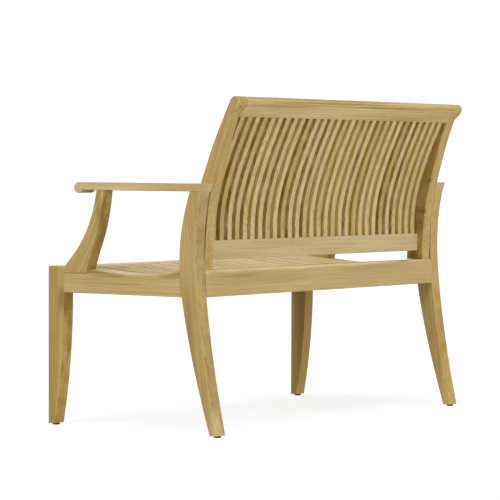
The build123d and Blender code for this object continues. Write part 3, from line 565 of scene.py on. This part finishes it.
def patch_share(tree, place, grain, centre, radii, strength):
    """A soft-edged, wavering ellipsoid: 0 outside, strength inside."""
    shifted = tree.nodes.new("ShaderNodeVectorMath")
    shifted.operation = "SUBTRACT"
    feed(tree, place["Object"], shifted.inputs[0])
    feed(tree, centre, shifted.inputs[1])
    reach = tree.nodes.new("ShaderNodeVectorMath")
    reach.operation = "LENGTH"
    scaled = stretched(tree, shifted.outputs[0], tuple(1 / radius for radius in radii))
    feed(tree, scaled, reach.inputs[0])
    waver = remap(tree, wood_noise(tree, grain, "patch edge").outputs[0], *PATCH_WAVER)
    distance = math_node(tree, "ADD", reach.outputs["Value"], waver)
    return remap(tree, distance, PATCH_OUTSIDE, PATCH_INSIDE, 0.0, strength)


def face_shade_share(tree, place, facing, shade_depth):
    """Painted shade in blotches on the faces along one axis; shade_depth is how much there is, up to 1.
    """
    speckle = stretched(tree, place["Object"], BLOTCH_FREQUENCY)
    blotch = noise_node(tree, speckle, BLOTCH_DETAIL, BLOTCH_ROUGH).outputs[0]
    depth = remap(tree, blotch, *BLOTCH_REACH, shade_depth * BLOTCH_LEAST, min(shade_depth * BLOTCH_MOST, 1.0))
    return multiply(tree, facing_share(tree, place, facing, SHADED_FACING), depth)


def new_material(name):
    """An empty material, with its node tree, its shader's inputs and its texture coordinates."""
    material = bpy.data.materials.new(name)
    material.use_nodes = True
    tree = material.node_tree
    place = tree.nodes.new("ShaderNodeTexCoord").outputs
    return material, tree, tree.nodes["Principled BSDF"].inputs, place


def board_grain(tree, place, name, dice, middle):
    """Grain coordinates: where in its log the board was cut, with X along the grain."""
    turn = grain_turn(*by_stem(GRAIN_ALONG, name))
    mapping = tree.nodes.new("ShaderNodeMapping")
    mapping.inputs["Rotation"].default_value = turn.to_euler()
    distance = dice.uniform(PITH_NEAREST, PITH_FURTHEST)
    heading = dice.uniform(0, 2 * math.pi)
    turned = turn @ middle
    mapping.inputs["Location"].default_value = (
        dice.uniform(0, LOG_LENGTH),
        distance * math.cos(heading) - turned.y,
        distance * math.sin(heading) - turned.z,
    )
    feed(tree, place["Object"], mapping.inputs["Vector"])
    return mapping.outputs["Vector"]


def board_tone(tree, place, name, dice):
    """How dark the board is. In a pair of seat laths each lath has its own tone."""
    darkness = by_stem(TONE_RANGE, name, OTHER_TONES)
    tone = dice.uniform(*darkness)
    if name.startswith("seat_slats"):
        on_left = math_node(tree, "GREATER_THAN", axes_of(tree, place["Object"])["X"], 0.0)
        tone = remap(tree, on_left, 0.0, 1.0, tone, dice.uniform(*darkness))
    return tone


def teak_material(node_name):
    """One board of teak: its own place in the log, its own tone and figure, and the painted shade and
    highlights given for it.
    """
    dice = random.Random(zlib.crc32(node_name.encode()))
    material, tree, surface, place = new_material("teak_" + node_name)
    low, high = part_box(node_name)
    grain = board_grain(tree, place, node_name, dice, (low + high) / 2)
    wood = tree.nodes.new("ShaderNodeGroup")
    wood.node_tree = TEAK
    feed(tree, grain, wood.inputs["Grain"])
    feed(tree, board_tone(tree, place, node_name, dice), wood.inputs["Tone"])
    feed(tree, dice.uniform(FIGURE_LEAST, FIGURE_MOST), wood.inputs["Figure"])
    feed(tree, STREAKS.get(node_name, OTHER_STREAKS), wood.inputs["Streaks"])

    colour = wood.outputs["Color"]
    for centre, radii, tint, strength in PATCHES.get(node_name, ()):
        share = patch_share(tree, place, grain, centre, radii, strength)
        colour = blend_colour(tree, share, colour, tint)
    axis = by_stem(GRAIN_ALONG, node_name)[0]
    end_share = multiply(tree, facing_share(tree, place, axis, END_FACING), END_SHARE)
    colour = blend_colour(tree, end_share, colour, END_GRAIN)
    # Painted shade on the faces along one axis, darkest on the back slats near the left stile and on a
    # share of the others
    if by_stem(SHADED_FACES, node_name) and node_name != PLAIN_SIDED:
        facing, tint, least, most = by_stem(SHADED_FACES, node_name)
        near_stile = low.x > DARK_SLATS_FROM * cad_box[1].x
        if node_name.startswith("back_slat") and (near_stile or dice.random() < DARK_SLAT_SHARE):
            least = most
            tint = DEEP_SHADE
        share = face_shade_share(tree, place, facing, dice.uniform(least, most))
        colour = blend_colour(tree, share, colour, tint, "MULTIPLY")
    feed(tree, colour, surface["Base Color"])
    feed(tree, wood.outputs["Roughness"], surface["Roughness"])
    surface["Specular IOR Level"].default_value = BARE_WOOD_SPECULAR
    bump = tree.nodes.new("ShaderNodeBump")
    bump.inputs["Strength"].default_value = BUMP_STRENGTH
    bump.inputs["Distance"].default_value = BUMP_DISTANCE
    feed(tree, wood.outputs["Height"], bump.inputs["Height"])
    feed(tree, bump.outputs["Normal"], surface["Normal"])
    return material


# ---------------------------------------------------------------- fittings
# Speckles in the fittings: the noise's octaves and roughness, how dark they make the colour, and
# how far they move the roughness either way
SPECKLE_DETAIL, SPECKLE_ROUGH = 4, 0.6
SPECKLE_DARK = 0.6
SPECKLE_GLOSS = 0.1

# Material, colour, roughness, metallic, speckles per metre and specular level of each fitting
FITTINGS = {
    "glides": ("glide_plastic", (0.012, 0.012, 0.012), 0.55, 0.0, 400, 0.04),
    "joint_pins": ("pin_wood", (0.17, 0.11, 0.05), 0.7, 0.0, 900, BARE_WOOD_SPECULAR),
    "dowels_and_plugs": ("dowel_wood", (0.34, 0.235, 0.09), 0.7, 0.0, 900, BARE_WOOD_SPECULAR),
    "stile_bolts": ("bolt_steel", (0.6, 0.59, 0.57), 0.35, 1.0, 600, 0.5),
    "stile_spacers": ("spacer_steel", (0.5, 0.49, 0.47), 0.45, 1.0, 600, 0.5),
}


def plain_material(name, colour, rough, metallic, speckle, specular):
    """Small fittings: one colour broken up by fine noise in tone and roughness."""
    material, tree, surface, place = new_material(name)
    grit = noise_node(tree, place["Object"], SPECKLE_DETAIL, SPECKLE_ROUGH, speckle).outputs[0]
    dark = tuple(part * SPECKLE_DARK for part in colour)
    feed(tree, blend_colour(tree, grit, dark, colour), surface["Base Color"])
    gloss = remap(tree, grit, 0, 1, rough - SPECKLE_GLOSS, rough + SPECKLE_GLOSS)
    feed(tree, gloss, surface["Roughness"])
    surface["Metallic"].default_value = metallic
    surface["Specular IOR Level"].default_value = specular
    return material


fitting_materials = {name: plain_material(*facts) for name, facts in FITTINGS.items()}
for node_name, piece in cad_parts.items():
    piece.data.materials.clear()
    piece.data.materials.append(fitting_materials.get(node_name) or teak_material(node_name))
